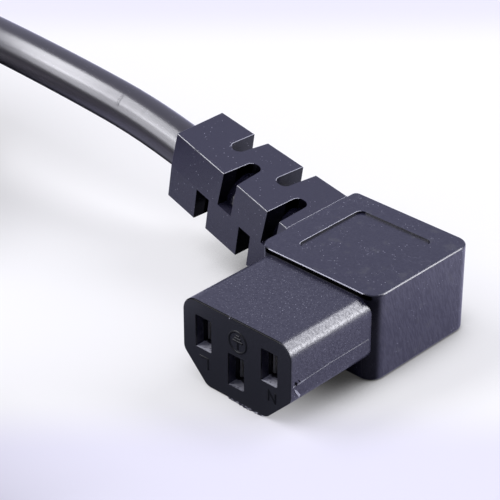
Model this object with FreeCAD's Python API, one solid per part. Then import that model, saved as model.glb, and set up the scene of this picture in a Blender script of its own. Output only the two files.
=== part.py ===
import FreeCAD, Part
import math
import os

from FreeCAD import Vector

# A right-angled C13 mains connector, moulded on a cord that ends in a C14 plug.
# Millimetres. The origin is the middle of the mating face, level with the line and neutral
# contacts. +Y goes into the connector, +Z is up, and the cord leaves towards -X.

# Mating nose: the eight-sided outline that an inlet takes in
nose_beside_contact = 4.45
nose_above = 5.5
nose_below = 9.5
nose_length = 18.1
nose_corner = 2.7
nose_chamfer = 5.1
nose_chamfer_blend = 1.8
nose_edge = 0.2
nose_wall = 1.9
face_thickness = 1.8

# Contact positions and the apertures in front of them
contact_pitch = 14.0
earth_drop = 4.0
aperture_width = 3.45
aperture_height = 5.85
aperture_corner = 0.3

# Housing: the block behind the nose, in which the cores turn the corner
housing_beside_nose = 1.0
housing_depth = 24.2
housing_over_nose = 0.9
housing_under_nose = 0.1
housing_corner = 2.6
housing_relief_corner = 1.0
housing_top_edge = 0.3
housing_bottom_edge = 0.7
label_width = 15.5
label_length = 15.7
label_sink = 0.35
label_corner = 1.2

# Strain relief: one piece with the housing, set at a rising angle by the weight of the cord
relief_rise = 11.5
relief_length = 29.5
relief_height = 13.4
relief_root_front = 24.7
relief_root_width = 15.7
relief_end_front = 28.3
relief_end_width = 11.8
relief_draft = 0.33
relief_root_depth = 4.0
relief_edge = 0.2

# Windows that let the strain relief flex: each is cut from one corner and, below it, the other
window_first = 3.4
window_step = 5.7
window_mouths = [3.2, 3.1, 3.75, 3.5]
window_back_slant = 0.7
window_inner = 2.8
window_overrun = 0.3
window_land = 0.6
sleeve_skin = 0.7

# Cord and its three cores
cord_diameter = 8.0
core_diameter = 2.7
conductor_diameter = 1.35
core_gap = 0.04
sheath_inside = 2.5
core_bend = 2.6
core_lead = 1.6
arc_share = 0.45

# Contacts and the carrier that holds them
sheet_thickness = 0.45
contact_clearance = 0.15
contact_setback = 0.8
contact_pinch = 0.7
pinch_share = 0.4
spring_length = 11.4
neck_length = 3.2
neck_thickness = 0.9
neck_height = 2.6
barrel_diameter = 3.0
barrel_length = 6.6
barrel_wall = 1.6
bare_length = 0.5
carrier_tail = 2.0
cap_thickness = 1.6
cap_clearance = 0.05

# Coil of spare cord and the tie round it. The cord joins it along a line towards -X
coil_place = -128.0
coil_line = 34.5
coil_mean_radius = 40.5
coil_columns = 2
coil_layers = 3
coil_sink = 0.15
tie_thickness = 0.8
tie_sweep = 16.0
tie_angle = 172.0

# Points that the loose cord passes on its way to the coil, and its way on to the plug
lead_points = [
    Vector(-53.9, 34.8, 8.0),
    Vector(-72.0, 33.6, 10.6),
    Vector(-92.0, 33.4, 11.9),
    Vector(-110.0, 34.4, 11.6),
]
tail_step = 16.0
tail_fall = 0.3

# C14 plug on the far end, lying on its side with its mouth towards +X
plug_side_wall = 2.7
plug_top_wall = 2.9
plug_length = 36.0
plug_corner = 4.0
plug_edge = 1.0
plug_relief_length = 28.0
plug_relief_depth = 2.0
plug_relief_root = 7.0
plug_relief_tip = 5.4
plug_relief_rings = 4
plug_ring_groove = 1.4
plug_ring_depth = 1.1
mouth_depth = 17.0
mouth_clearance = 0.35
pin_thickness = 2.0
pin_height = 4.0
pin_setback = 1.5
pin_tail = 7.0
pin_point = 0.6
insert_thickness = 10.0
insert_inset = 1.6

# How far a cutter runs past the face it opens, and the slack when an edge is picked by place
past = 1.0
hair = 1e-6

# Sizes that follow from the ones above
nose_width = contact_pitch + 2 * nose_beside_contact
floor = -(nose_below + housing_under_nose)
housing_half = nose_width / 2 + housing_beside_nose
housing_front = nose_length
housing_back = nose_length + housing_depth
housing_top = nose_above + housing_over_nose
carrier_back = nose_length + carrier_tail
cap_back = carrier_back + cap_thickness
contact_front = face_thickness + contact_setback
spring_back = contact_front + spring_length
barrel_front = spring_back + neck_length
barrel_back = barrel_front + barrel_length
core_front = barrel_back + bare_length
cord_radius = cord_diameter / 2
cable_drop = relief_height / 2
coil_half_width = coil_columns * cord_radius
coil_bottom = floor + tie_thickness
coil_height = coil_layers * cord_diameter
coil_middle_strand = coil_bottom + coil_height / 2
coil_top_strand = coil_bottom + coil_height - cord_radius
coil_outer_strand = coil_mean_radius + coil_half_width - cord_radius
coil_centre = Vector(coil_place, coil_line - coil_outer_strand, 0)
outline_middle = (nose_above - nose_below) / 2
plug_width = nose_width + 2 * (mouth_clearance + plug_side_wall)
plug_height = nose_above + nose_below + 2 * (mouth_clearance + plug_top_wall)
plug_middle = floor + plug_height / 2
contact_places = {
    "line": (-contact_pitch / 2, 0.0),
    "neutral": (contact_pitch / 2, 0.0),
    "earth": (0.0, -earth_drop),
}


def box(x, y, z):
    """A block between two limits on each axis."""
    block = Part.makeBox(x[1] - x[0], y[1] - y[0], z[1] - z[0])
    block.translate(Vector(x[0], y[0], z[0]))
    return block


def placed(solid, place):
    """A solid moved out of its own axes."""
    solid.Placement = place * solid.Placement
    return solid


def prism(points, depth):
    """A polygon's face, pulled along a vector."""
    return Part.Face(Part.makePolygon(points + points[:1])).extrude(depth)


def edges_where(shape, test):
    """The edges whose middle point passes a test."""
    return [e for e in shape.Edges if test(e.valueAt((e.FirstParameter + e.LastParameter) / 2))]


def edges_along(shape, direction):
    """The straight edges that run along a direction."""
    found = []
    for edge in shape.Edges:
        if isinstance(edge.Curve, Part.Line):
            if abs(edge.tangentAt(edge.FirstParameter).dot(direction)) > 0.999:
                found.append(edge)
    return found


def c13_prism(inset, start, length):
    """The connector's eight-sided outline, drawn in by an inset and pulled along +Y.

    The two upper corners are round. The two lower ones, on the earth contact's side, are cut
    off at 45 degrees, which is what keeps the connector from going in upside down.
    """
    half = nose_width / 2 - inset
    top = nose_above - inset
    bottom = -nose_below + inset
    cut = nose_chamfer - inset * (2 - math.sqrt(2))
    right = [(half, top), (half, bottom + cut), (half - cut, bottom)]
    left = [(-x, z) for x, z in reversed(right)]
    solid = prism([Vector(x, start, z) for x, z in right + left], Vector(0, length, 0))
    upper = [e for e in edges_along(solid, Vector(0, 1, 0)) if e.Vertexes[0].Z > top - hair]
    solid = solid.makeFillet(nose_corner - inset, upper)
    if inset < nose_chamfer_blend:
        lower = [e for e in edges_along(solid, Vector(0, 1, 0)) if e.Vertexes[0].Z < bottom + cut + hair]
        solid = solid.makeFillet(nose_chamfer_blend - inset, lower)
    return solid


def rounded_slab(x, y, z, corner):
    """A block with its four upright corners rounded."""
    block = box(x, y, z)
    return block.makeFillet(corner, edges_along(block, Vector(0, 0, 1)))


def nose():
    """The nose, its front edge slightly rounded."""
    solid = c13_prism(0.0, 0.0, nose_length + housing_corner)
    return solid.makeFillet(nose_edge, edges_where(solid, lambda p: p.y < hair))


def beside_relief(point):
    """Whether a point lies on the housing's upright corner behind the strain relief."""
    return point.x < hair - housing_half and point.y > housing_back - hair


def housing():
    """The block behind the nose, with a shallow bare recess for a label in its top."""
    x = (-housing_half, housing_half)
    y = (housing_front, housing_back)
    solid = box(x, y, (floor, housing_top))
    upright = edges_along(solid, Vector(0, 0, 1))
    rounder = [e for e in upright if not beside_relief(e.Vertexes[0].Point)]
    solid = solid.makeFillet(housing_corner, rounder)
    solid = solid.makeFillet(housing_relief_corner, edges_where(solid, beside_relief))
    solid = solid.makeFillet(housing_top_edge, edges_where(solid, lambda p: p.z > housing_top - hair))
    solid = solid.makeFillet(housing_bottom_edge, edges_where(solid, lambda p: p.z < floor + hair))
    middle = (housing_front + housing_back) / 2
    recess = rounded_slab(
        (-label_width / 2, label_width / 2),
        (middle - label_length / 2, middle + label_length / 2),
        (housing_top - label_sink, housing_top + past),
        label_corner,
    )
    return solid.cut(recess)


def relief_place():
    """Turns the strain relief's own axes into the connector's.

    Its own X runs from the cord towards the housing and its own Z is square to its top. Its
    origin is on the top edge of the housing's left side.
    """
    turn = FreeCAD.Rotation(Vector(0, 1, 0), relief_rise)
    return FreeCAD.Placement(Vector(-housing_half, 0, housing_top), turn)


def relief_front(along):
    """Where the front face of the strain relief is, at a distance from the housing."""
    return relief_root_front + (relief_end_front - relief_root_front) * along / relief_length


def relief_back(along):
    """Where its back face is, at a distance from the housing."""
    root = relief_root_front + relief_root_width
    end = relief_end_front + relief_end_width
    return root + (end - root) * along / relief_length


def cable_axis(along):
    """A point on the cord's axis inside the strain relief, in the strain relief's own axes."""
    return Vector(-along, (relief_front(along) + relief_back(along)) / 2, -cable_drop)


def relief_body():
    """The tapered six-sided block: its sides lean in, above and below the mould's parting line."""
    sections = []
    for along in (relief_length, -relief_root_depth):
        front = relief_front(along)
        back = relief_back(along)
        outline = [
            (front + relief_draft, 0),
            (front, -relief_height / 2),
            (front + relief_draft, -relief_height),
            (back - relief_draft, -relief_height),
            (back, -relief_height / 2),
            (back - relief_draft, 0),
        ]
        sections.append([Vector(-along, y, z) for y, z in outline])
    solid = Part.makeLoft([Part.makePolygon(ring + ring[:1]) for ring in sections], True, True)
    return solid.makeFillet(relief_edge, edges_where(solid, lambda p: p.x < relief_root_depth - hair))


def relief_block(outer, inner):
    """A plain block between two distances from the housing, wider than the strain relief's end.

    It parts what is inside the strain relief from the loose cord beyond it.
    """
    y = (relief_front(relief_length) - past, relief_back(relief_length) + past)
    return placed(box((-outer, -inner), y, (-relief_height, 0)), relief_place())


def window(along, mouth, side, low, high):
    """One window: tapered from its mouth in a side face to a full round end at the axis.

    A window in the back face slants, its mouth nearer to the housing than its round end.
    """
    radius = window_inner / 2
    mouth_middle = -along + (window_back_slant if side == "back" else 0)
    face = relief_front(along) - past if side == "front" else relief_back(along) + past
    inward = 1 if side == "front" else -1
    centre = cable_axis(along).y + inward * (window_overrun - radius)
    tip = centre + inward * radius
    corners = [
        Vector(mouth_middle - mouth / 2, face, low),
        Vector(-along - radius, centre, low),
        Vector(-along, tip, low),
        Vector(-along + radius, centre, low),
        Vector(mouth_middle + mouth / 2, face, low),
    ]
    edges = [
        Part.LineSegment(corners[0], corners[1]).toShape(),
        Part.Arc(corners[1], corners[2], corners[3]).toShape(),
        Part.LineSegment(corners[3], corners[4]).toShape(),
        Part.LineSegment(corners[4], corners[0]).toShape(),
    ]
    return Part.Face(Part.Wire(edges)).extrude(Vector(0, 0, high - low))


def round_bar(start, end, radius):
    """A cylinder between two points."""
    run = end - start
    return Part.makeCylinder(radius, run.Length, start, run)


def relief():
    """The strain relief, its windows cut down to a thin sleeve round the cord."""
    solid = relief_body()
    upper = (-relief_height / 2 + window_land / 2, past)
    lower = (-relief_height - past, -relief_height / 2 - window_land / 2)
    cutters = []
    for number, mouth in enumerate(window_mouths):
        along = window_first + number * window_step
        sides = ("front", "back") if number % 2 == 0 else ("back", "front")
        cutters.append(window(along, mouth, sides[0], *upper))
        cutters.append(window(along, mouth, sides[1], *lower))
    inner_end = cable_axis(-relief_root_depth)
    outer_end = cable_axis(relief_length + past)
    sleeve = round_bar(outer_end, inner_end, cord_radius + sleeve_skin)
    for cutter in cutters:
        solid = solid.cut(cutter.cut(sleeve))
    return placed(solid, relief_place())


def in_housing(point):
    """A point in the strain relief's own axes, as a point of the connector."""
    return relief_place().multVec(point)


def bent_path(points, bend=None):
    """Straight runs joined by tangent arcs. With no bend radius given, each arc is as large as
    its two runs allow. Returns the wire, the arcs' radii and the length."""
    edges = []
    radii = []
    start = points[0]
    for before, corner, after in zip(points, points[1:], points[2:]):
        a = (before - corner).normalize()
        b = (after - corner).normalize()
        half_turn = (math.pi - a.getAngle(b)) / 2
        shorter = min((before - corner).Length, (after - corner).Length)
        radius = bend if bend else arc_share * shorter / math.tan(half_turn)
        reach = radius * math.tan(half_turn)
        first = corner + a * reach
        last = corner + b * reach
        inward = (a + b).normalize()
        middle = corner + inward * (radius / math.cos(half_turn) - radius)
        edges.append(Part.LineSegment(start, first).toShape())
        edges.append(Part.Arc(first, middle, last).toShape())
        radii.append(radius)
        start = last
    edges.append(Part.LineSegment(start, points[-1]).toShape())
    wire = Part.Wire(edges)
    return wire, radii, sum(e.Length for e in edges)


def swept(points, diameter, bend=None):
    """A round bar along a bent path."""
    wire, radii, length = bent_path(points, bend)
    start = points[0]
    ring = Part.Circle(start, (points[1] - start).normalize(), diameter / 2)
    solid = wire.makePipe(Part.Face(Part.Wire([ring.toShape()])))
    return solid, radii, length


def core_offset(name):
    """Where a core lies in the sheath, square to the cord's axis: three cores in a triangle."""
    reach = core_diameter / math.sqrt(3) + core_gap
    angle = {"line": 150, "neutral": 30, "earth": 270}[name]
    return reach * math.cos(math.radians(angle)), reach * math.sin(math.radians(angle))


def core_line(name, along):
    """A point on a core's straight stretch, in line with the cord."""
    sideways, up = core_offset(name)
    return in_housing(cable_axis(along) + Vector(0, sideways, up))


def core_route(name, start):
    """The core's route from its contact back into the housing, round the corner and out."""
    x, z = contact_places[name]
    far = core_line(name, relief_length + past)
    near = core_line(name, -sheath_inside)
    run = near - far
    corner = far + run * ((x - far.x) / run.x)
    return [Vector(x, start, z), Vector(x, core_front + core_lead, z), corner, far]


def cores():
    """The three copper conductors and the insulation on each, from the crimp to the cord's end."""
    parts = {}
    beyond = relief_block(relief_length + 2 * past, relief_length)
    for name in contact_places:
        crimped = barrel_front + barrel_wall
        conductor = swept(core_route(name, crimped), conductor_diameter, core_bend)[0]
        insulated = swept(core_route(name, core_front), core_diameter, core_bend)[0]
        parts[name + "_conductor"] = conductor.cut(beyond)
        parts[name + "_insulation"] = insulated.cut(conductor).cut(beyond)
    return parts


def core_space():
    """The room that the cores and bare conductors take up in the moulding."""
    space = []
    for name in contact_places:
        space.append(swept(core_route(name, core_front), core_diameter, core_bend)[0])
        x, z = contact_places[name]
        bare = (Vector(x, barrel_back, z), Vector(x, core_front, z))
        space.append(round_bar(*bare, conductor_diameter / 2))
    return space


def sheath_bar():
    """The stretch of the cord's sheath that the strain relief is moulded round."""
    start = in_housing(cable_axis(relief_length + past))
    end = in_housing(cable_axis(-sheath_inside))
    return round_bar(start, end, cord_radius)


def inner_sheath():
    """That sheath, with a hole for each core, cut off level with the strain relief's end."""
    solid = sheath_bar().cut(relief_block(relief_length + 2 * past, relief_length))
    for name in contact_places:
        outer_end = core_line(name, relief_length + past)
        inner_end = core_line(name, -sheath_inside - past)
        solid = solid.cut(round_bar(outer_end, inner_end, core_diameter / 2))
    return solid


def apertures(start, end, corner):
    """One upright opening for each contact."""
    openings = []
    for x, z in contact_places.values():
        across = (x - aperture_width / 2, x + aperture_width / 2)
        upright = (z - aperture_height / 2, z + aperture_height / 2)
        block = box(across, (start, end), upright)
        if corner:
            block = block.makeFillet(corner, edges_along(block, Vector(0, 1, 0)))
        openings.append(block)
    return openings


def outer_moulding():
    """Nose, housing and strain relief in one piece, moulded round everything inside."""
    solid = housing().fuse([nose(), relief()]).removeSplitter()
    inside = [c13_prism(nose_wall, face_thickness, cap_back - face_thickness), sheath_bar()]
    inside += core_space()
    for x, z in contact_places.values():
        crimp = (Vector(x, cap_back, z), Vector(x, barrel_back, z))
        inside.append(round_bar(*crimp, barrel_diameter / 2))
    inside += apertures(-past, face_thickness, aperture_corner)
    for piece in inside:
        solid = solid.cut(piece)
    return solid


def contact_carrier():
    """The hard inner block with a through cavity for each contact."""
    solid = c13_prism(nose_wall, face_thickness, carrier_back - face_thickness)
    for cavity in apertures(face_thickness, carrier_back, 0):
        solid = solid.cut(cavity)
    return solid


def carrier_cap():
    """The plate that closes the carrier from behind and lets the crimps through."""
    solid = c13_prism(nose_wall, carrier_back, cap_thickness)
    for x, z in contact_places.values():
        hole = (Vector(x, carrier_back, z), Vector(x, cap_back, z))
        solid = solid.cut(round_bar(*hole, barrel_diameter / 2 + cap_clearance))
    return solid


def contact(x, z):
    """A stamped female contact: two sprung leaves, a neck, and the crimp on the conductor."""
    outer = aperture_width / 2 - contact_clearance
    inner = outer - sheet_thickness
    height = aperture_height - 2 * contact_clearance
    pinch_y = contact_front + pinch_share * spring_length
    root_y = spring_back - sheet_thickness

    def leaf(side, x_mouth, x_pinch):
        mouth = Vector(side * x_mouth, contact_front, -height / 2)
        pinch = Vector(side * x_pinch, pinch_y, -height / 2)
        root = Vector(side * x_mouth, root_y, -height / 2)
        return mouth, pinch, root

    outer_right = leaf(1, outer, outer - contact_pinch)
    outer_left = leaf(-1, outer, outer - contact_pinch)
    inner_right = leaf(1, inner, inner - contact_pinch)
    inner_left = leaf(-1, inner, inner - contact_pinch)
    back_right = Vector(outer, spring_back, -height / 2)
    back_left = Vector(-outer, spring_back, -height / 2)
    edges = [
        Part.Arc(*outer_right).toShape(),
        Part.LineSegment(outer_right[2], back_right).toShape(),
        Part.LineSegment(back_right, back_left).toShape(),
        Part.LineSegment(back_left, outer_left[2]).toShape(),
        Part.Arc(*reversed(outer_left)).toShape(),
        Part.LineSegment(outer_left[0], inner_left[0]).toShape(),
        Part.Arc(*inner_left).toShape(),
        Part.LineSegment(inner_left[2], inner_right[2]).toShape(),
        Part.Arc(*reversed(inner_right)).toShape(),
        Part.LineSegment(inner_right[0], outer_right[0]).toShape(),
    ]
    leaves = Part.Face(Part.Wire(edges)).extrude(Vector(0, 0, height))
    neck = box(
        (-neck_thickness / 2, neck_thickness / 2),
        (spring_back - sheet_thickness, barrel_front + sheet_thickness),
        (-neck_height / 2, neck_height / 2),
    )
    barrel = round_bar(Vector(0, barrel_front, 0), Vector(0, barrel_back, 0), barrel_diameter / 2)
    bore_front = Vector(0, barrel_front + barrel_wall, 0)
    bore = round_bar(bore_front, Vector(0, barrel_back, 0), conductor_diameter / 2)
    solid = leaves.fuse([neck, barrel]).removeSplitter().cut(bore)
    solid.translate(Vector(x, 0, z))
    return solid


def rounded_section(half_width, low, high, corner):
    """A rounded rectangle standing in the coil's radial plane, as a face."""
    x = (coil_mean_radius - half_width, coil_mean_radius + half_width)
    block = box(x, (0, 1), (low, high))
    block = block.makeFillet(corner, edges_along(block, Vector(0, 1, 0)))
    return [f for f in block.Faces if abs(f.CenterOfMass.y) < hair][0]


def cord_coil():
    """The outer shape of the wound cord: a ring as wide and high as its turns."""
    section = rounded_section(coil_half_width, coil_bottom, coil_bottom + coil_height, cord_radius)
    ring = section.revolve(Vector(0, 0, 0), Vector(0, 0, 1), 360)
    ring.translate(coil_centre)
    return ring


def coil_tie():
    """The strap that holds the turns together."""
    spans = []
    for grow in (tie_thickness, 0.0):
        low = coil_bottom - grow
        high = coil_bottom + coil_height + grow
        section = rounded_section(coil_half_width + grow, low, high, cord_radius + grow)
        span = section.revolve(Vector(0, 0, 0), Vector(0, 0, 1), tie_sweep)
        span.rotate(Vector(0, 0, 0), Vector(0, 0, 1), tie_angle)
        span.translate(coil_centre)
        spans.append(span)
    return spans[0].cut(spans[1])


def lead_route():
    """The cord's route from the strain relief to the top of the coil."""
    start = in_housing(cable_axis(relief_length))
    end = Vector(coil_centre.x, coil_line - coil_sink, coil_top_strand - coil_sink)
    return [start] + lead_points + [end]


def tail_route():
    """Its route from the coil's middle layer to the plug, which lies on the floor."""
    line = 2 * coil_centre.y - coil_line + coil_sink
    heights = [coil_middle_strand, coil_middle_strand - tail_fall, plug_middle, plug_middle]
    return [Vector(coil_centre.x + n * tail_step, line, z) for n, z in enumerate(heights)]


def loose_cord(name, route, neighbours):
    """A stretch of cord that isn't coiled. What its neighbours already hold of it is cut off."""
    solid, radii, length = swept(route, cord_diameter)
    expected = math.pi * cord_radius**2 * length
    print(name, "bend radii", [round(r) for r in radii], "length", round(length, 1))
    print(name, "volume over section times length", round(solid.Volume / expected, 4))
    for neighbour in neighbours:
        solid = solid.cut(neighbour)
    return solid


def plug_place():
    """Turns the plug's own axes, like the connector's, into its place on the floor.

    Its own +Y goes in at its mouth, so that it turns to face along +X.
    """
    end = tail_route()[-1]
    mouth = Vector(end.x + plug_relief_length + plug_length, end.y, plug_middle - outline_middle)
    return FreeCAD.Placement(mouth, FreeCAD.Rotation(Vector(0, 0, 1), 90))


def plug_relief():
    """A round tapered strain relief with grooves between its rings, in the plug's own axes."""
    start = plug_length
    end = plug_length + plug_relief_length
    root = start - plug_relief_depth
    outline = [Vector(0, root, 0), Vector(plug_relief_root, root, 0), Vector(plug_relief_root, start, 0)]
    pitch = plug_relief_length / (plug_relief_rings + 1)
    for ring in range(1, plug_relief_rings + 1):
        share = ring / (plug_relief_rings + 1)
        radius = plug_relief_root + (plug_relief_tip - plug_relief_root) * share
        at = start + pitch * ring
        outline.append(Vector(radius, at - plug_ring_groove / 2, 0))
        outline.append(Vector(radius - plug_ring_depth, at - plug_ring_groove / 2, 0))
        outline.append(Vector(radius - plug_ring_depth, at + plug_ring_groove / 2, 0))
        outline.append(Vector(radius, at + plug_ring_groove / 2, 0))
    outline += [Vector(plug_relief_tip, end, 0), Vector(0, end, 0)]
    face = Part.Face(Part.makePolygon(outline + outline[:1]))
    solid = face.revolve(Vector(0, 0, 0), Vector(0, 1, 0), 360)
    solid.translate(Vector(0, 0, outline_middle))
    return solid


def plug_pin(x, z):
    """A flat pin with a pointed tip and a tail behind the insert, in the plug's own axes."""
    back = mouth_depth + insert_thickness + pin_tail
    blade = box(
        (x - pin_thickness / 2, x + pin_thickness / 2),
        (pin_setback, back),
        (z - pin_height / 2, z + pin_height / 2),
    )
    tip = edges_where(blade, lambda p: p.y < pin_setback + hair)
    return blade.makeChamfer(pin_point, tip)


def plug():
    """The far end's pieces: the moulding, the insert and three pins."""
    x = (-plug_width / 2, plug_width / 2)
    z = (outline_middle - plug_height / 2, outline_middle + plug_height / 2)
    body = box(x, (0, plug_length), z)
    body = body.makeFillet(plug_corner, edges_along(body, Vector(0, 1, 0)))
    body = body.makeFillet(plug_edge, edges_where(body, lambda p: p.y > plug_length - hair))
    body = body.fuse(plug_relief()).removeSplitter()
    mouth = c13_prism(-mouth_clearance, -past, mouth_depth + past)
    insert = c13_prism(insert_inset, mouth_depth, insert_thickness)
    body = body.cut(mouth).cut(insert)
    parts = {}
    for name, (x, z) in contact_places.items():
        # The plug meets a connector face to face, so line and neutral change sides
        pin = plug_pin(-x, z)
        insert = insert.cut(pin)
        body = body.cut(pin)
        parts["plug_" + name + "_pin"] = pin
    parts["plug_moulding"] = body
    parts["plug_insert"] = insert
    return {name: placed(solid, plug_place()) for name, solid in parts.items()}


def build():
    """Every piece by name."""
    parts = {
        "outer_moulding": outer_moulding(),
        "contact_carrier": contact_carrier(),
        "carrier_cap": carrier_cap(),
        "inner_sheath": inner_sheath(),
    }
    for name, (x, z) in contact_places.items():
        parts[name + "_contact"] = contact(x, z)
    parts.update(cores())
    coil = cord_coil()
    parts["cord_coil"] = coil
    parts["coil_tie"] = coil_tie()
    parts["cord_lead"] = loose_cord("cord_lead", lead_route(), [coil, relief_block(relief_length, 0)])
    parts["cord_tail"] = loose_cord("cord_tail", tail_route(), [coil])
    parts.update(plug())
    return parts


def main():
    os.makedirs("parts", exist_ok=True)
    for name, shape in build().items():
        shape.exportStep("parts/" + name + ".step")
        print(name, len(shape.Solids), "solid, valid", shape.isValid(), "volume", round(shape.Volume, 1))


main()
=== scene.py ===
# %% [markdown]
# # A right-angled C13 mains connector
# The connector is one black PVC moulding: an eight-sided nose, a square housing and a windowed
# strain relief, all moulded round the end of a round mains cord. Its solids come from the packed
# model. Here they get their finishes, the strap round the coil among them, and the soft and fine
# things are modelled: the cord with its coil, the raised marks and the flash that the mould left.

# %% Load the solids
import math
import random

import bmesh
import bpy
from mathutils import Matrix, Vector


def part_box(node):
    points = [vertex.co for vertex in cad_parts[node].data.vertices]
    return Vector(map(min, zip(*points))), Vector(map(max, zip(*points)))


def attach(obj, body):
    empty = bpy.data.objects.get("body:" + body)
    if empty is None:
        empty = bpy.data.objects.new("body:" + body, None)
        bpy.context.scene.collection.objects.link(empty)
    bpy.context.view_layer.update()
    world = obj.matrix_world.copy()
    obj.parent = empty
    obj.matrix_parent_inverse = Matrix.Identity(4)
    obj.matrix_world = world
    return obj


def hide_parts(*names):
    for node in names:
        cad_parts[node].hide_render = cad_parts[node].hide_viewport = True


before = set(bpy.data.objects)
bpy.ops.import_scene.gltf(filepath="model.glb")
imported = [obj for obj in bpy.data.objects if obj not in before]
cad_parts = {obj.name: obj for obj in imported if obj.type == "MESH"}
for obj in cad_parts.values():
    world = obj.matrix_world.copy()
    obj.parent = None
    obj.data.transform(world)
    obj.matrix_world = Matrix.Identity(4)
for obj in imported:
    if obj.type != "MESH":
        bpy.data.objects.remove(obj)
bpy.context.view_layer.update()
millimetre = 0.001
per_millimetre = 1000.0
print("solids loaded:", len(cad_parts))


# %% [markdown]
# The camera stands in front of the nose, to its right, and looks down at the connector with a
# long lens. Its angles could be set by eye. They were found by fitting the connector's own
# corners to the photograph instead, because a few degrees turn every edge in the picture.

# %% Camera
target = Vector((-19.44, 23.70, 0.0)) * millimetre
distance = 338.52 * millimetre
azimuth = math.radians(43.47)
elevation = math.radians(30.44)

backwards = Vector((
    math.sin(azimuth) * math.cos(elevation),
    -math.cos(azimuth) * math.cos(elevation),
    math.sin(elevation),
))
bpy.ops.object.camera_add(
    location=target + backwards * distance,
    rotation=(math.pi / 2 - elevation, 0, azimuth),
)
camera = bpy.context.object
camera.data.sensor_width = 36.0
camera.data.lens = 146.07
camera.data.clip_start = 0.01
bpy.context.scene.camera = camera
print("camera at", [round(c, 4) for c in camera.location])


# %% [markdown]
# Blender builds a material from nodes, and its maths takes one Math node for each sum. They
# could be added and linked one by one, but a formula reads best as a formula. `Wire` holds one
# value of a material, and arithmetic on it adds the Math nodes.

# %% Sums on wires
class Wire:
    """One value inside a material. Arithmetic on it adds Math nodes."""

    def __init__(self, finish, socket):
        self.finish = finish
        self.socket = socket

    def math(self, operation, *values):
        sockets = dict(enumerate(values))
        return self.finish.node("ShaderNodeMath", {"operation": operation}, sockets)

    def __add__(self, other):
        return self.math("ADD", self, other)

    __radd__ = __add__

    def __sub__(self, other):
        return self.math("SUBTRACT", self, other)

    def __rsub__(self, other):
        return self.math("SUBTRACT", other, self)

    def __mul__(self, other):
        return self.math("MULTIPLY", self, other)

    __rmul__ = __mul__

    def __abs__(self):
        return self.math("ABSOLUTE", self)


print("sums on wires ready")


# %% [markdown]
# Every real finish here is a colour, a sheen and some unevenness. `Finish` is a material in the
# making. It starts from a Principled shader, which covers plastic, metal and paper alike, and
# its `node` method adds any other node from its type, its settings and the values or wires of
# its sockets. The patterns that several finishes share are short methods, so that each finish
# can be read as a few lines.

# %% A material in the making
class Finish:
    """A material with a shader whose fixed sockets are set at once."""

    def __init__(self, name, **fixed):
        self.material = bpy.data.materials.new(name)
        self.material.use_nodes = True
        self.tree = self.material.node_tree
        self.shader = self.tree.nodes["Principled BSDF"]
        for socket, value in fixed.items():
            self.shader.inputs[socket.replace("_", " ")].default_value = value

    def node(self, kind, settings=None, sockets=None, output=0):
        made = self.tree.nodes.new(kind)
        for name, value in (settings or {}).items():
            setattr(made, name, value)
        for name, value in (sockets or {}).items():
            if isinstance(value, Wire):
                self.tree.links.new(value.socket, made.inputs[name])
            else:
                made.inputs[name].default_value = value
        return Wire(self, made.outputs[output])

    def feed(self, socket, wire):
        self.tree.links.new(wire.socket, self.shader.inputs[socket])

    def place(self):
        return self.node("ShaderNodeTexCoord", output="Object")

    def facing(self):
        """Which way the surface faces: its normal's share along X, Y and Z."""
        return self.parts(self.node("ShaderNodeTexCoord", output="Normal"))

    def noise(self, where, per_metre, detail=2.0):
        settings = {"Vector": where, "Scale": per_metre, "Detail": detail}
        return self.node("ShaderNodeTexNoise", None, settings, "Fac")

    def parts(self, vector):
        """The three components of a vector, as wires."""
        separate = ("ShaderNodeSeparateXYZ", None, {"Vector": vector})
        return [self.node(*separate, axis) for axis in "XYZ"]

    def dots(self, where, per_metre, radius):
        """Scattered round dots. The radius is a share of the space between them."""
        settings = {"Vector": where, "Scale": per_metre}
        distance = self.node("ShaderNodeTexVoronoi", None, settings, "Distance")
        return self.between(distance, radius, radius * 0.6)

    def between(self, value, low, high, new_low=0.0, new_high=1.0):
        """Eases from a first value to a second one while a wire goes from low to high."""
        sockets = {0: value, 1: low, 2: high, 3: new_low, 4: new_high}
        return self.node("ShaderNodeMapRange", {"interpolation_type": "SMOOTHSTEP"}, sockets)

    def above(self, value, place, blur):
        """0 below a place and 1 above it, with a soft edge across the place."""
        return self.between(value, place - blur / 2, place + blur / 2)

    def below(self, value, place, blur):
        """1 below a place and 0 above it, with a soft edge across the place."""
        return self.between(value, place + blur / 2, place - blur / 2)

    def blend(self, share, first, second):
        sockets = {"Factor": share, "A": first, "B": second}
        return self.node("ShaderNodeMix", {"data_type": "RGBA"}, sockets, "Result")

    def bump(self, height, depth):
        sockets = {"Height": height, "Strength": 1.0, "Distance": depth}
        return self.node("ShaderNodeBump", None, sockets, "Normal")

    def darken(self, share):
        """Lets a share of the surface turn dead black, as painted shade."""
        painted_shade = self.node("ShaderNodeBsdfDiffuse", None, {"Color": (0.0, 0.0, 0.0, 1.0)})
        clean = Wire(self, self.shader.outputs[0])
        mixed = self.node("ShaderNodeMixShader", None, {0: share, 1: clean, 2: painted_shade})
        surface = self.tree.nodes["Material Output"].inputs["Surface"]
        self.tree.links.new(mixed.socket, surface)


print("material helpers ready")
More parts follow.
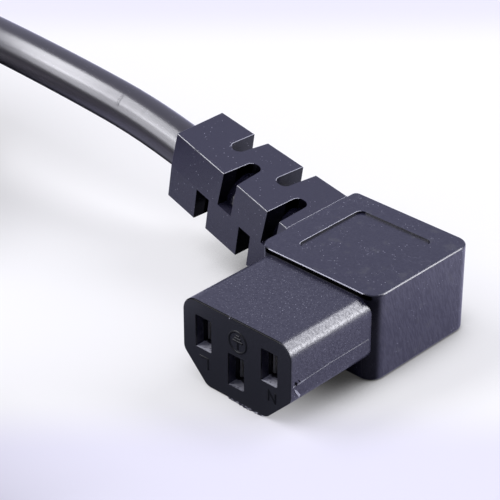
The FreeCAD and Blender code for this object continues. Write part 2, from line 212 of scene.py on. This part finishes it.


# %% [markdown]
# The floor is one large pale sheet at the height of the housing's underside. A wide sheet has
# no edge in view, so the background stays plain, and it catches the soft shadow that shows the
# connector touching it. A glow makes over half of what the camera sees, which keeps that
# shadow pale, and a painted shadow darkens the colour close to the connector. What the black PVC
# reflects of the sheet is painted apart from what the camera sees: a painted bright reflection
# behind the nose, a painted dark reflection in front of it, where no card lies, and a painted
# shaded reflection beside the strain relief, and so the mating face stays dark. Places on the
# sheet are in millimetres.

# %% Floor
floor_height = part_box("outer_moulding")[0].z
floor_size = 6.0
floor_lavender = (0.757, 0.742, 0.850, 1.0)
floor_white = (0.870, 0.865, 0.865, 1.0)
floor_glow = 0.6
white_from = -6.0
white_to = 142.5
painted_shadow_colour = (0.05, 0.049, 0.048, 1.0)
contact_reach = 8.5 * millimetre
contact_samples = 12
contact_right = 0.6
contact_front = 0.25
no_glow = (0.0, 0.0, 0.0, 1.0)
painted_dark_reflection = (0.10, 0.10, 0.13, 1.0)
dark_reflection_slant = 0.9
painted_bright_reflection = (0.46, 0.45, 0.57, 1.0)
painted_shaded_reflection = (0.32, 0.32, 0.38, 1.0)
shade_from = -27.0
shade_to = -70.0

bpy.ops.object.select_all(action="DESELECT")
bpy.ops.mesh.primitive_plane_add(size=floor_size, location=(0, 0, floor_height))
floor = bpy.context.object
floor.name = "floor"
bpy.ops.object.transform_apply(location=True)

paper = Finish("pale_sheet", Roughness=0.9, Specular_IOR_Level=0.1, Emission_Strength=1.0)
x, y = [axis * per_millimetre for axis in paper.parts(paper.place())[:2]]
away = y * math.cos(azimuth) - x * math.sin(azimuth)
white = paper.above(away, white_from, 16.0) * paper.below(away, white_to, 25.0)
reach = {"Distance": contact_reach}
openness = paper.node("ShaderNodeAmbientOcclusion", {"samples": contact_samples}, reach, "AO")
# Painted shadow: the colour darkens where the connector is close, weaker right of the housing and
# weakest in front of the nose.
contact = 1 - paper.above(openness, 0.55, 0.8)
contact = contact * paper.between(x, 10.0, 16.0, 1.0, contact_right)
contact = contact * paper.between(y, -2.0, 16.0, contact_front, 1.0)
seen = paper.blend(contact, paper.blend(white, floor_lavender, floor_white), painted_shadow_colour)
lit = paper.blend(floor_glow, seen, no_glow)
glowing = paper.blend(floor_glow, no_glow, seen)

# Painted reflections: colours that only reflections in the PVC see, apart from the camera's view.
past_dark_reflection = paper.above(y, 2.0, 4.0) * paper.above(y - x * dark_reflection_slant, -15.0, 6.0)
past_dark_reflection = past_dark_reflection * paper.above(x, 6.0, 8.0)
painted_reflection = paper.blend(past_dark_reflection, painted_dark_reflection, painted_bright_reflection)
painted_reflection = paper.blend(paper.below(x, shade_from, 14.0), painted_reflection, painted_shaded_reflection)
painted_reflection = paper.blend(paper.below(x, shade_to, 12.0), painted_reflection, painted_bright_reflection)
looked_at = paper.node("ShaderNodeLightPath", output="Is Camera Ray")
paper.feed("Base Color", paper.blend(looked_at, painted_reflection, lit))
paper.feed("Emission Color", paper.blend(looked_at, no_glow, glowing))
floor.data.materials.append(paper.material)
print("floor at", round(floor_height, 4))


# %% [markdown]
# Soft boxes stand in for a light tent. Two stand one above the other at the left, and their long
# reflection runs along the cord. A wide one high at the back lifts the rounded corner of the
# nose, and a small one carries that light down its side. The camera's side has none, which
# leaves the faces that look that way dark.

# %% Lamps and world
lamp_distance = 0.6
lamp_colour = (0.95, 0.95, 1.0)
sky_colour = (0.72, 0.73, 1.0, 1.0)
sky_strength = 0.48


def add_lamp(name, direction, along, length, width, watts):
    """A soft box that looks at the connector from a direction. Its length runs along another."""
    away = Vector(direction).normalized()
    side = (Vector(along) - away * away.dot(Vector(along))).normalized()
    bpy.ops.object.light_add(type="AREA", location=target + away * lamp_distance)
    lamp = bpy.context.object
    lamp.name = name
    lamp.data.shape = "RECTANGLE"
    lamp.data.size = length
    lamp.data.size_y = width
    lamp.data.energy = watts
    lamp.data.color = lamp_colour
    lamp.rotation_euler = Matrix((side, away.cross(side), away)).transposed().to_euler()
    return lamp


lamps = [
    add_lamp("back_high", (0.45, 0.63, 0.63), (1.0, 0, -0.71), 0.76, 0.20, 3.2),
    add_lamp("right_low", (0.78, 0.58, 0.24), (0, 0, 1), 0.24, 0.30, 0.9),
    add_lamp("left_high", (-0.59, -0.34, 0.73), (0, 0.90, 0.43), 0.44, 0.20, 2.7),
    add_lamp("left_low", (-0.59, -0.73, 0.34), (0, 0.42, 0.91), 0.40, 0.20, 1.2),
]
world = bpy.data.worlds.new("soft_world")
bpy.context.scene.world = world
world.use_nodes = True
sky = world.node_tree.nodes["Background"]
sky.inputs["Color"].default_value = sky_colour
sky.inputs["Strength"].default_value = sky_strength
bpy.context.scene.view_settings.view_transform = "Standard"
print("lamps:", [lamp.name for lamp in lamps])


# %% [markdown]
# The mouldings are one soft black PVC. Its skin is uneven and holds specks of dust and fine
# scratches. The mating face came off polished steel and has none of them. The lower walls of
# the three apertures get painted light, a pale strip with a ragged edge where light falls in at
# each mouth, and the lit walls of the far windows are painted a little lighter. An image could
# show all that, but it would have to be laid out over thousands of triangles. Noise on Object
# coordinates needs no layout, so `Moulding` is a finish that knows where on the connector a
# point lies, in millimetres, and which way the surface faces there.

# %% Colours of the mouldings
pvc_deep = (0.010, 0.009, 0.022, 1.0)
pvc_pale = (0.017, 0.016, 0.034, 1.0)
face_black = (0.011, 0.012, 0.014, 1.0)
# Paler black for real smudges, and for painted light on the far windows' walls.
smudge_and_painted_light = (0.045, 0.045, 0.052, 1.0)
dust = (0.30, 0.30, 0.35, 1.0)
fine_dust = (0.15, 0.15, 0.18, 1.0)
# Pale colour of the painted light on the apertures' lower walls.
painted_light_pale = (0.42, 0.42, 0.45, 1.0)
face_skin = 0.3
nose_begins = -1.5
aperture_end = 16.5
housing_front = 18.0
housing_right = 12.15
relief_root = -12.75
far_windows = 34.6
aperture_top = 4.25
painted_light_depth = 1.95
painted_light_ragged = 1.6
earth_painted_light = 0.55


class Moulding(Finish):
    """Black PVC, with masks that say on which part of the connector a point lies."""

    def __init__(self, name):
        super().__init__(name, Specular_IOR_Level=0.8, Coat_Roughness=0.2)
        self.where = self.place()
        self.x, self.y, self.z = [axis * per_millimetre for axis in self.parts(self.where)]
        self.right, self.inward, self.up = self.facing()
        self.off_face = self.above(abs(self.y), face_skin, 0.4)
        self.on_nose = self.above(self.y, nose_begins, 1.0)
        self.on_housing = self.above(self.y, housing_front, 0.4)
        self.on_relief = self.below(self.x, relief_root, 0.5)
        self.off_relief = 1 - self.on_relief
        right_wall = self.above(self.right, 0.935, 0.07)
        self.right_end = right_wall * self.above(self.x, housing_right, 0.3)
        self.graininess = 1 - self.on_housing * 0.45 - self.on_relief * 0.25

    def skin(self):
        """Uneven black, plain on the face, painted lighter on far windows' lit walls, rubbed in
        smudges.
        """
        skin = self.blend(self.noise(self.where, 4000.0), pvc_deep, pvc_pale)
        skin = self.blend(self.off_face, face_black, skin)
        # Painted light: the far windows' walls that face the housing are lit, so their colour is
        # lifted.
        painted_lit_wall = self.above(self.right, 0.8, 0.2) * self.above(self.y, far_windows, 0.4)
        skin = self.blend(painted_lit_wall * self.on_relief, skin, smudge_and_painted_light)
        smudges = self.above(self.noise(self.where, 420.0, 6.0), 0.64, 0.12) * self.on_housing
        return self.blend(smudges * self.off_relief * 0.5, skin, smudge_and_painted_light)

    def dusted(self, skin, speck_share):
        """Specks of dust on a skin, finer ones on the nose, and scratches on the housing's top."""
        clouds = self.above(self.noise(self.where, 160.0), 0.50, 0.20)
        specks = self.dots(self.where, 1300.0, 0.13) * clouds * speck_share
        skin = self.blend(specks * self.off_face, skin, dust)
        contour = abs(self.noise(self.where, 650.0, 1.0) - 0.5)
        scratches = self.below(contour, 0.007, 0.006) * self.on_housing * self.off_relief
        scratches = scratches * self.above(self.noise(self.where, 330.0), 0.56, 0.12)
        scratches = scratches * self.between(self.up, 0.5, 0.9, 0.0, 0.4)
        skin = self.blend(scratches, skin, fine_dust)
        fine_specks = self.dots(self.where, 2700.0, 0.22) * (1 - self.on_housing) * speck_share
        return self.blend(fine_specks * self.off_face, skin, fine_dust)

    def painted_light_share(self):
        """The share of painted light: a ragged strip in front on each aperture's lower wall."""
        inside = self.below(self.z, aperture_top, 0.5) * self.below(self.y, aperture_end, 1.0)
        ragged = self.y + (self.noise(self.where, 1400.0) - 0.5) * painted_light_ragged
        strip = inside * self.on_nose * self.below(ragged, painted_light_depth, 0.5)
        return self.above(self.up, 0.875, 0.15) * strip

    def painted_light_colour(self):
        """The pale painted light of a lower wall. The earth aperture, in the middle, is less pale.
        """
        light_mottle = self.above(self.noise(self.where, 2500.0, 4.0), 0.375, 0.25)
        paleness = self.between(abs(self.x), 3.0, 4.0, earth_painted_light, 1.0)
        return self.blend(light_mottle * paleness, pvc_pale, painted_light_pale)


print("mouldings have their colours")


# %% [markdown]
# The sheen of the PVC could come from its roughness alone. Here it comes from a thin coat over
# it, and the coat's weight varies as well as the bump does, so that highlights break up as they
# do on the real skin. The nose has a stronger grain and is a little more satin than the
# housing, and the right end shows the slanting marks of a milled mould.

# %% Sheen of the mouldings
housing_roughness = 0.27
nose_roughness = 0.37
face_coat = 0.5
skin_coat = 0.65
milling_slant = 0.34
milling_stretch = 5.0


def sheen(finish):
    """Feeds the roughness and the coat, with the grain and the milling marks in it."""
    slant = {
        "Vector": finish.where,
        "Rotation": (milling_slant, 0.0, 0.0),
        "Scale": (1.0, 1.0, milling_stretch),
    }
    milled = finish.node("ShaderNodeMapping", {"vector_type": "TEXTURE"}, slant)
    milling = finish.between(finish.noise(milled, 3400.0, 1.0), 0.35, 0.65, -0.28, 0.26)
    speckle = finish.between(finish.noise(finish.where, 2600.0, 3.0), 0.30, 0.70, -0.4, 0.35)
    speckle = speckle * finish.graininess * (1 - finish.right_end)
    satin = (1 - finish.on_housing) * finish.off_face
    coat = (speckle + milling * finish.right_end + skin_coat) * (1 + satin * 0.2)
    finish.feed("Roughness", satin * (nose_roughness - housing_roughness) + housing_roughness)
    finish.feed("Coat Weight", coat * finish.off_face + (1 - finish.off_face) * face_coat)


def grain(finish, depth):
    """Feeds the fine grain of the mould's surface."""
    height = finish.noise(finish.where, 3000.0, 3.0) * finish.off_face * finish.graininess
    finish.feed("Normal", finish.bump(height * (1 - finish.right_end * 0.5), depth))


print("sheen and grain ready")


# %% [markdown]
# The corners of the real moulding look dark: the step behind the nose, a wall of the label
# recess, the rim of the mating face and the near windows of the strain relief. Fewer lamps
# would darken them, but the open faces too, so the corners get painted shade instead. It is
# black without any sheen, so it is mixed in after the shader, where masks by place and facing say.

# %% Painted shade of the mouldings
relief_side = -11.0
step_back = 21.0
lip_bottom = 5.55
sill_bottom = 5.9
sill_top = 6.33
sill_left = -8.75
sill_right = -0.5
rim_depth = 0.26
rim_bottom = 4.75
rim_right = 9.25
windows_front = 20.5
windows_middle = 34.0
windows_deep = 30.3
depth_shade_from = 0.7


def painted_shade(finish):
    """The share of painted shade in the corners of the moulding."""
    x, y, z = finish.x, finish.y, finish.z
    beside_relief = finish.above(x, relief_side, 1.0) * finish.on_housing
    step = finish.below(finish.inward, -0.375, 0.45) * finish.below(y, step_back, 1.0)
    step = step * finish.between(z, 6.0, 5.2, 0.7, 1.0) * beside_relief
    lip = finish.below(finish.inward, -0.8, 0.2) * finish.above(z, lip_bottom, 0.5)
    lip = lip * beside_relief
    sill = finish.above(z, sill_bottom, 0.2) * finish.below(z, sill_top, 0.06)
    sill = sill * finish.above(x, sill_left, 0.5) * finish.below(x, sill_right, 1.0)
    sill = sill * finish.above(finish.right, 0.65, 0.3)
    rim = finish.above(finish.inward, -0.955, 0.05) * finish.below(y, rim_depth, 0.08)
    rim = rim * finish.above(z, rim_bottom, 0.5) * finish.below(x, rim_right, 1.5) * finish.on_nose
    near_half = finish.above(y, windows_front, 1.0) * finish.below(y, windows_middle, 0.4)
    near_half = near_half * finish.below(finish.up, 0.5, 0.2) * finish.on_relief
    windows = finish.above(y, windows_deep, 0.6) + finish.above(finish.right, 0.7, 0.2)
    return step * 0.8 + lip * 0.6 + sill * 0.8 + rim * 0.92 + windows * near_half * 0.85


def moulded(name, grain_depth, speck_share, depth_shade_share):
    """Black PVC from its skin to its painted shade, which can darken it by its depth in the nose.
    """
    finish = Moulding(name)
    painted_light_share = finish.painted_light_share()
    skin = finish.dusted(finish.skin(), speck_share)
    finish.feed("Base Color", finish.blend(painted_light_share, skin, finish.painted_light_colour()))
    sheen(finish)
    grain(finish, grain_depth)
    # Painted shade: the carrier turns black deeper inside the nose's apertures.
    inner = finish.above(finish.y, depth_shade_from, 1.0) * (1 - painted_light_share) * depth_shade_share
    finish.darken(inner + painted_shade(finish))
    return finish


pvc = moulded("moulded_pvc", 0.04 * millimetre, 0.8, 0.0)
carrier_pvc = moulded("carrier_pvc", 0.02 * millimetre, 0.0, 0.75)
print("moulding finishes ready")


# %% [markdown]
# The other finishes are plain. The contacts are brass that has gone dull under its tin, and the
# pins of the plug are nickel. The cores keep the colours of line, neutral and earth. One flat
# colour would look like paint, so `plain` blends it with a deeper one by a noise. The strap has
# a nap of fine loops, for which the same noise feeds its colour and its bump.

# %% Finish of metals, cores and strap
loop_dark = (0.006, 0.006, 0.007, 1.0)
loop_pale = (0.035, 0.035, 0.038, 1.0)
loop_height = 0.25 * millimetre
deeper_share = 0.75


def plain(name, colour, **fixed):
    """A finish of one colour, slightly uneven."""
    finish = Finish(name, **fixed)
    uneven = finish.noise(finish.place(), 900.0)
    deeper = tuple(deeper_share * channel for channel in colour)
    finish.feed("Base Color", finish.blend(uneven, (*deeper, 1.0), (*colour, 1.0)))
    return finish


strap = Finish("strap", Roughness=0.9, Specular_IOR_Level=0.3)
loops = strap.noise(strap.place(), 1500.0, 4.0)
strap.feed("Base Color", strap.blend(strap.between(loops, 0.35, 0.7), loop_dark, loop_pale))
strap.feed("Normal", strap.bump(loops, loop_height))
finishes = {
    "outer_pvc": pvc,
    "inner_plastic": carrier_pvc,
    "cord_pvc": plain("inner_sheath", (0.012, 0.011, 0.014), Roughness=0.4),
    "brass": plain("dull_brass", (0.66, 0.66, 0.62), Metallic=1.0, Roughness=0.5),
    "copper": plain("copper", (0.80, 0.42, 0.28), Metallic=1.0, Roughness=0.35),
    "nickel": plain("nickel", (0.62, 0.61, 0.57), Metallic=1.0, Roughness=0.25),
    "brown_core": plain("brown_core", (0.10, 0.04, 0.02), Roughness=0.4),
    "blue_core": plain("blue_core", (0.03, 0.10, 0.38), Roughness=0.4),
    "green_yellow_core": plain("green_yellow_core", (0.18, 0.45, 0.06), Roughness=0.4),
    "tie": strap,
}
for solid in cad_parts.values():
    slot_name = solid.material_slots[0].material.name
    solid.data.materials.clear()
    solid.data.materials.append(finishes[slot_name].material)
print("finishes:", len(finishes))


# %% [markdown]
# Raised letters, worn edges and the mould's parting line are all thin and round. They could be
# rows of cylinders, but those gape at the bends. A bevelled curve closes its own bends, so
# `rods` runs splines of one curve along chains of points, gives them a round bevel and turns
# them into a mesh.

# %% Round rods
def rods(name, radius, roundness, chains, capped=False):
    """A mesh of round rods. A chain has its points, its share of the radius and if it closes."""
    curve = bpy.data.curves.new(name, "CURVE")
    curve.dimensions = "3D"
    curve.bevel_depth = radius
    curve.bevel_resolution = roundness
    curve.use_fill_caps = capped
    for points, share, closes in chains:
        spline = curve.splines.new("POLY")
        spline.points.add(len(points) - 1)
        for point, place in zip(spline.points, points):
            point.co = (*place, 1.0)
            point.radius = share
        spline.use_cyclic_u = closes
    made = bpy.data.objects.new(name, curve)
    bpy.context.scene.collection.objects.link(made)
    bpy.ops.object.select_all(action="DESELECT")
    made.select_set(True)
    bpy.context.view_layer.objects.active = made
    bpy.ops.object.convert(target="MESH")
    return bpy.context.object


print("rods ready")


# %% [markdown]
# Three marks stand out of the mating face by a little over a tenth of a millimetre: an earth
# sign in a ring, an L and an N. They read upside down here. Text would give the letters sharp
# corners and flat tops, and the real strokes are round, so each mark is a few rods that are
# sunk more than halfway into the face.

# %% Raised marks
painted_mark_shade = (0.002, 0.002, 0.002, 1.0)
stroke_radius = 0.23 * millimetre
stroke_sink = 0.09 * millimetre
ring_x = 0.40
ring_z = 1.68
ring_radius = 1.84
ring_points = 40
stem_foot = 1.25
bars = [(0.10, 1.0), (0.60, 0.68), (1.08, 0.36)]
letter_l = [(-7.80, -4.35), (-6.05, -4.35), (-6.05, -6.35)]
letter_n = [(6.90, -5.95), (6.90, -4.10), (8.35, -5.95), (8.35, -4.10)]


def stroke(points, closes=False):
    """One stroke of a mark, through points (x, z) in millimetres on the mating face."""
    return [(x * millimetre, stroke_sink, z * millimetre) for x, z in points], 1.0, closes


ring_angles = [2 * math.pi * n / ring_points for n in range(ring_points)]
ring = [
    (ring_x + ring_radius * math.cos(angle), ring_z + ring_radius * math.sin(angle))
    for angle in ring_angles
]
strokes = [stroke(ring, closes=True)]
strokes.append(stroke([(ring_x, ring_z - stem_foot), (ring_x, ring_z + bars[0][0])]))
for rise, half in bars:
    strokes.append(stroke([(ring_x - half, ring_z + rise), (ring_x + half, ring_z + rise)]))
strokes += [stroke(letter_l), stroke(letter_n)]

marks = rods("marks", stroke_radius, 3, strokes, capped=True)
bpy.ops.object.shade_smooth_by_angle(angle=math.radians(50))
matt = Finish("mark_pvc", Roughness=0.5, Specular_IOR_Level=0.35)
# The strokes' colour is darker than the face's own black: painted shade along the raised marks.
matt.feed("Base Color", matt.blend(matt.noise(matt.place(), 900.0), painted_mark_shade, face_black))
marks.data.materials.append(matt.material)
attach(marks, "root")
print("marks faces:", len(marks.data.polygons))


# %% [markdown]
# The fine pale lines are painted highlights. They follow the sharp edges of the moulding where
# a top meets a wall that faces the nose's right: the windows' edges and one side of the label
# recess. A pale bevel would need a change of the moulding's own mesh, which stays as it was
# packed, so they are thin rods, and a copy of that mesh says where they go. One more painted
# highlight runs along the rounded front edge of the housing's top, and a fainter one where that
# top meets the strain relief's.

# %% Painted highlights on edges
highlight_radius = 0.055 * millimetre
same_place = 0.01 * millimetre
top_at_least = 0.95
wall_at_most = 0.5
rightward = 0.6
front_edge_share = 1.8
front_edge_half = 10.0
front_edge_y = 18.19
front_edge_z = 6.31
seam_share = 0.5
seam_x = -12.45
seam_from = 24.9
seam_to = 40.2
seam_z = 6.4

shell = bmesh.new()
shell.from_mesh(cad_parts["outer_moulding"].data)
bmesh.ops.remove_doubles(shell, verts=shell.verts, dist=same_place)
painted_highlight_edges = []
for edge in shell.edges:
    if len(edge.link_faces) != 2 or not edge.is_convex:
        continue
    normals = [face.normal for face in edge.link_faces]
    top = max(normals, key=lambda normal: normal.z)
    wall = min(normals, key=lambda normal: normal.z)
    if top.z > top_at_least and wall.z < wall_at_most and wall.x > rightward:
        painted_highlight_edges.append(([vertex.co.copy() for vertex in edge.verts], 1.0, False))
shell.free()
front_edge = [
    Vector((side * front_edge_half, front_edge_y, front_edge_z)) * millimetre for side in (-1, 1)
]
seam = [Vector((seam_x, y, seam_z)) * millimetre for y in (seam_from, seam_to)]
painted_highlight_edges += [(front_edge, front_edge_share, False), (seam, seam_share, False)]

# Pale: painted highlights on the edge rods, and torn PVC on the chips further on.
torn_pale_and_highlight = plain("torn_and_highlight_finish", (0.50, 0.50, 0.55), Roughness=0.5)
highlight_rods = rods("painted_highlight_edges", highlight_radius, 1, painted_highlight_edges)
highlight_rods.data.materials.append(torn_pale_and_highlight.material)
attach(highlight_rods, "root")
print("worn edges:", len(painted_highlight_edges))


# %% [markdown]
# The mould halves meet at about half height. They left a fine raised line along both sides of
# the nose. A bump in the material could draw it, but a bump only shades a wall, and the real
# line stands out and catches light from above. So there is a rod on each side, and its middle
# lies a little inside the wall, which leaves over half of it to be seen.

# %% Parting line
line_radius = 0.09 * millimetre
line_sink = 0.4
line_points = [(0.6, -1.78), (3.5, -1.64), (9.0, -1.38), (18.0, -1.36)]
nose_half = 11.45 * millimetre

# The ridge's pale colour is a painted highlight, lighter than the PVC it is moulded from.
ridge = plain("parting_ridge", (0.16, 0.16, 0.18), Roughness=0.35)
line_x = nose_half - line_radius * line_sink
parting_lines = [
    ([(side * line_x, y * millimetre, z * millimetre) for y, z in line_points], 1.0, False)
    for side in (-1, 1)
]
parting = rods("parting_line", line_radius, 2, parting_lines)
parting.data.materials.append(ridge.material)
print("parting line faces:", len(parting.data.polygons))


# %% [markdown]
# Thin flash stands out along the lower edge of the mating face. Its edge is torn, so each tooth
# of it has its own length, and a few torn flakes hang on near the front. A bump has no outline,
# and flash is seen by its outline, so these are pieces of their own. A grid has a row of
# corners to pull out, one for each tooth, and a small cone is as pointed as a flake.

# %% Flash and flakes
nose_underside = -9.5 * millimetre
flash_from = -1.8 * millimetre
flash_to = 5.9 * millimetre
flash_teeth = 34
flash_reach = 0.42 * millimetre
flash_root = 0.1 * millimetre
flash_taper = 0.4
flash_thickness = 0.06 * millimetre
shortest_tooth = 0.35
torn_white = (0.55, 0.55, 0.60, 1.0)
flake_sides = 5
flake_width = 0.28
flake_places = [
    (-1.3, 0.1, 5.5, 0.5),
    (-0.8, 0.1, 5.5, 0.3),
    (-9.0, 0.2, 5.3, 0.35),
    (-1.0, 0.1, -9.4, 0.4),
]


def thicken(piece):
    """Gives a flat piece the thickness of the flash."""
    shell = piece.modifiers.new("thickness", "SOLIDIFY")
    shell.thickness = flash_thickness
    bpy.ops.object.modifier_apply(modifier="thickness")


random.seed(7)
torn = Finish("torn_pvc", Roughness=0.6)
pale = torn.above(torn.noise(torn.place(), 1500.0), 0.56, 0.12)
torn.feed("Base Color", torn.blend(pale, pvc_pale, torn_white))
bpy.ops.mesh.primitive_grid_add(x_subdivisions=flash_teeth, y_subdivisions=1, size=1)
flash = bpy.context.object
flash.name = "flash"
for vertex in flash.data.vertices:
    share = vertex.co.x + 0.5
    tooth = random.uniform(shortest_tooth, 1.0) * math.sin(math.pi * share) ** flash_taper
    out = -flash_reach * tooth if vertex.co.y < 0 else flash_root
    place = flash_from + (flash_to - flash_from) * share
    vertex.co = (place, out, nose_underside + flash_thickness)
thicken(flash)
flash.data.materials.append(torn.material)

flakes = []
for x, y, z, length in flake_places:
    bpy.ops.mesh.primitive_cone_add(
        vertices=flake_sides,
        radius1=length * flake_width * millimetre,
        depth=length * millimetre,
    )
    tilt = random.uniform(0.3, 1.2)
    bpy.ops.transform.rotate(value=tilt, orient_axis="X", center_override=(0, 0, 0))
    bpy.ops.transform.translate(value=(x * millimetre, y * millimetre, z * millimetre))
    bpy.ops.object.transform_apply(location=True, rotation=True)
    flakes.append(bpy.context.object)
bpy.ops.object.select_all(action="DESELECT")
for flake in flakes:
    flake.select_set(True)
bpy.context.view_layer.objects.active = flakes[0]
bpy.ops.object.join()
flakes = bpy.context.object
flakes.name = "flakes"
flakes.data.materials.clear()
flakes.data.materials.append(torn.material)
print("flash faces:", len(flash.data.polygons))


# %% [markdown]
# On the nose's right side a chip and two pits lie beside the parting line, which is lifted there,
# and a crumb sits at its front end. They could be cut into the moulding, but its mesh stays as
# it was packed, and they are too shallow to show a depth. Each is a thin scrap on the wall in
# its own outline, pale where PVC is torn, and black in a pit as painted shade.

# %% Chip and pits beside the line
def chip(name, finish, corners):
    """A thin scrap on the right side of the nose, through corners (y, z) in millimetres."""
    bpy.ops.mesh.primitive_circle_add(vertices=len(corners), fill_type="NGON")
    scrap = bpy.context.object
    scrap.name = name
    for vertex, (y, z) in zip(scrap.data.vertices, corners):
        vertex.co = (nose_half + flash_thickness / 2, y * millimetre, z * millimetre)
    thicken(scrap)
    scrap.data.materials.append(finish.material)
    return scrap


# Painted shade: the black of a pit stands in for the shade inside it.
painted_pit_shade = plain("painted_pit_shade", (0.004, 0.004, 0.005), Roughness=0.9, Specular_IOR_Level=0.0)
chips = [
    chip(
        "torn_chip",
        torn_pale_and_highlight,
        [(0.72, -2.14), (1.30, -2.60), (2.17, -3.83), (1.88, -4.15), (1.15, -3.05)],
    ),
    chip("lifted_ridge", torn_pale_and_highlight, [(1.68, -1.85), (3.50, -1.74), (3.50, -1.54), (2.20, -1.58)]),
    chip("painted_pit_shade", painted_pit_shade, [(1.08, -0.99), (1.52, -1.39), (1.28, -1.79), (1.05, -1.46)]),
    chip("painted_pit_shade_beside", painted_pit_shade, [(1.84, -1.00), (2.19, -1.36), (2.05, -1.46), (1.78, -1.12)]),
    chip("crumb", torn_pale_and_highlight, [(0.50, -1.62), (0.70, -1.64), (0.72, -1.84), (0.52, -1.82)]),
]
for piece in (parting, flash, flakes, *chips):
    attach(piece, "root")
print("scraps beside the line:", len(chips))


# %% [markdown]
# The cord runs from the strain relief to a coil and from there to the plug. A ring could stand
# for the coil, but it would show no strands, so the cord is one NURBS curve through the points
# of its whole route. The coil's points come from a loop: the strand keeps to one of six slots
# in the coil's section for most of a turn, and then moves over to the next.

# %% Route of the cord
cord_diameter = 8.0 * millimetre
cord_exit = Vector((-42.694, 34.2, 5.716)) * millimetre
coil_place = -128.0 * millimetre
coil_line = 34.5 * millimetre
coil_mean_radius = 40.5 * millimetre
coil_columns = 2
coil_layers = 3
strap_thickness = 0.8 * millimetre

lead_points = [
    Vector((-53.9, 34.8, 8.0)) * millimetre,
    Vector((-72.0, 33.6, 10.6)) * millimetre,
    Vector((-92.0, 33.4, 11.9)) * millimetre,
    Vector((-110.0, 34.4, 11.6)) * millimetre,
]
tail_points = [
    Vector((-112.0, -54.35, 2.9)) * millimetre,
    Vector((-96.0, -54.35, 1.15)) * millimetre,
    Vector((-80.0, -54.35, 1.15)) * millimetre,
]
coil_middle = floor_height + strap_thickness + coil_layers * cord_diameter / 2
coil_centre = Vector((
    coil_place,
    coil_line - coil_mean_radius - (coil_columns - 1) * cord_diameter / 2,
    coil_middle,
))
turns = 5.5
points_per_turn = 24
hair = 1e-9
slots = [(1, 1), (-1, 1), (-1, 0), (-1, -1), (1, -1), (1, 0)]
change_begins = 0.45
change_takes = 0.30
change_lag = 0.06
change_swell = 0.15
lowest_layer = -1.0
highest_layer = 1.09


def strand(turn):
    """A point of the cord after a number of turns round the coil."""
    slot = min(int(turn + hair), len(slots) - 1)
    following = min(slot + 1, len(slots) - 1)
    begins = slot + change_begins + change_lag * (len(slots) - 2 - slot)
    share = min(max((turn - begins) / change_takes, 0.0), 1.0)
    share = share * share * (3 - 2 * share)
    swell = 1 + change_swell * math.sin(math.pi * share)
    column = (slots[slot][0] * (1 - share) + slots[following][0] * share) * swell
    layer = (slots[slot][1] * (1 - share) + slots[following][1] * share) * swell
    layer = min(max(layer, lowest_layer), highest_layer)
    radius = coil_mean_radius + column * cord_diameter / 2
    radius = radius / math.cos(math.pi / points_per_turn)
    angle = math.pi / 2 + turn * 2 * math.pi
    around = Vector((math.cos(angle), math.sin(angle), 0)) * radius
    return coil_centre + around + Vector((0, 0, layer * cord_diameter))


coil_points = [strand(n / points_per_turn) for n in range(int(turns * points_per_turn) + 1)]
route = [cord_exit] + lead_points + coil_points + tail_points
print("cord points:", len(route))


# %% [markdown]
# The sheath is glossier than the mouldings. Its lower half is painted paler, a painted reflection
# of the floor, its underside gets painted shade, and a small scar crosses its lit side near the
# connector. The surface's own normal says which side is up, because the cord keeps no fixed
# height along its route.

# %% Cord
sheath_deep = (0.028, 0.026, 0.030, 1.0)
sheath_pale = (0.036, 0.033, 0.038, 1.0)
painted_floor_reflection = (0.056, 0.052, 0.058, 1.0)
sheath_grain = 0.25
scar_x = -58.9
scar_half_width = 0.30
scar_wander = 1.0
scar_height = 0.08 * millimetre

line = bpy.data.curves.new("cord", "CURVE")
line.dimensions = "3D"
spline = line.splines.new("NURBS")
spline.points.add(len(route) - 1)
for point, place in zip(spline.points, route):
    point.co = (*place, 1.0)
spline.order_u = 3
spline.use_endpoint_u = True
line.resolution_u = 6
line.bevel_depth = cord_diameter / 2
line.bevel_resolution = 14
line.use_fill_caps = True
cord = bpy.data.objects.new("cord", line)
bpy.context.scene.collection.objects.link(cord)

sheath = Finish(
    "cord_sheath",
    Roughness=0.3,
    Specular_IOR_Level=0.6,
    Coat_Weight=0.9,
    Coat_Roughness=0.22,
)
along = sheath.place()
facing_up = sheath.facing()[2]
skin = sheath.blend(sheath.noise(along, 300.0), sheath_deep, sheath_pale)
# Painted reflection: the lower half is paler, as if the floor were mirrored there.
skin = sheath.blend(sheath.below(facing_up, 0.175, 0.25), skin, painted_floor_reflection)
specks = sheath.dots(along, 1500.0, 0.12) * sheath.above(sheath.noise(along, 200.0), 0.56, 0.12)
sheath.feed("Base Color", sheath.blend(specks * 0.6, skin, dust))
x = sheath.parts(along)[0] * per_millimetre
off_scar = x - scar_x + (sheath.noise(along, 250.0) - 0.5) * scar_wander
scar = sheath.between(off_scar * off_scar, scar_half_width**2, 0.0)
scar = scar * sheath.above(facing_up, 0.525, 0.15) * sheath.below(facing_up, 0.86, 0.12)
height = sheath.noise(along, 900.0) * sheath_grain + scar
sheath.feed("Normal", sheath.bump(height, scar_height))
# Painted shade: the underside turns black.
sheath.darken(sheath.below(facing_up, -0.335, 0.37) * 0.9)
cord.data.materials.append(sheath.material)
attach(cord, "root")
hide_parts("cord_lead", "cord_coil", "cord_tail")
